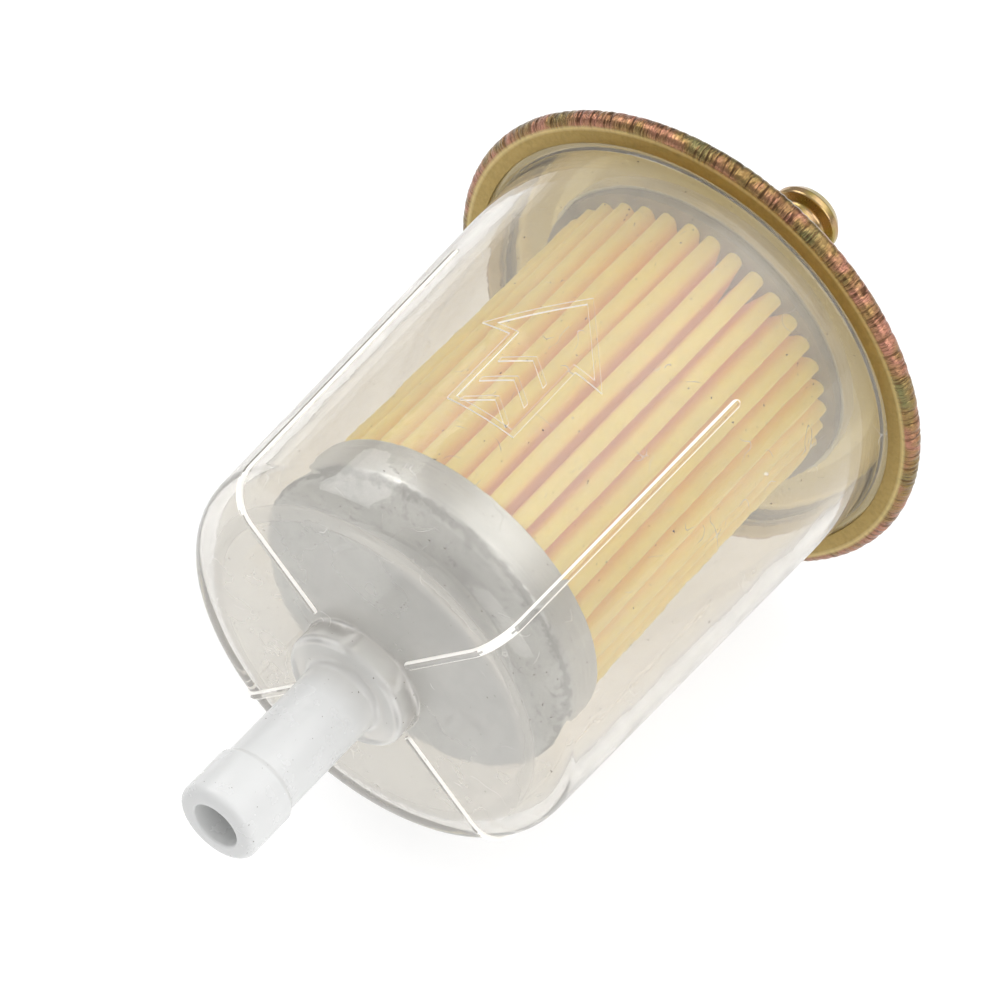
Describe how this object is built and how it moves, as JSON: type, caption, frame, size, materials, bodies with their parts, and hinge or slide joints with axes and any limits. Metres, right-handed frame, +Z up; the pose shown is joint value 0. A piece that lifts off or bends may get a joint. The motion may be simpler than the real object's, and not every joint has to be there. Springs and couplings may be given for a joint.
{
  "type": "inline fuel filter",
  "caption": "Inline fuel filter: clear tapered bowl with ribs and flow arrow, pleated paper element, rolled-on pressed steel cover and a hose nipple at each end.",
  "frame": {"origin": "on the filter's axis, in the middle of the inlet nipple's bead land, where the hose is pushed on", "axes": "+X along the axis from the inlet to the outlet, the way the fuel flows; +Z up, through the side of the bowl that carries the arrow, midway between two ribs"},
  "size_m": [0.1005, 0.0564, 0.0564],
  "materials": {
    "clear_plastic": "clear moulded plastic, faintly milky and beige, fine scratches",
    "zinc_steel": "yellow chromate zinc plating with pink and green tints",
    "filler_metal": "plated braze",
    "cap_metal": "bright brushed sheet",
    "filter_paper": "pale yellow resin-treated pleated paper",
    "potting": "grey potting compound",
    "core_metal": "tinned perforated sheet",
    "seal_rubber": "fuel-proof rubber, olive brown"
  },
  "bodies": {
    "root": {"bowl": "clear_plastic", "cover": "zinc_steel", "cover_gasket": "seal_rubber", "outlet_tube": "zinc_steel", "braze_ring": "filler_metal", "lower_end_cap": "cap_metal", "upper_end_cap": "cap_metal", "pleated_paper": "filter_paper", "lower_adhesive": "potting", "upper_adhesive": "potting", "core_tube": "core_metal", "pleat_seam_clip": "core_metal", "element_seal": "seal_rubber"}
  },
  "joints": []
}
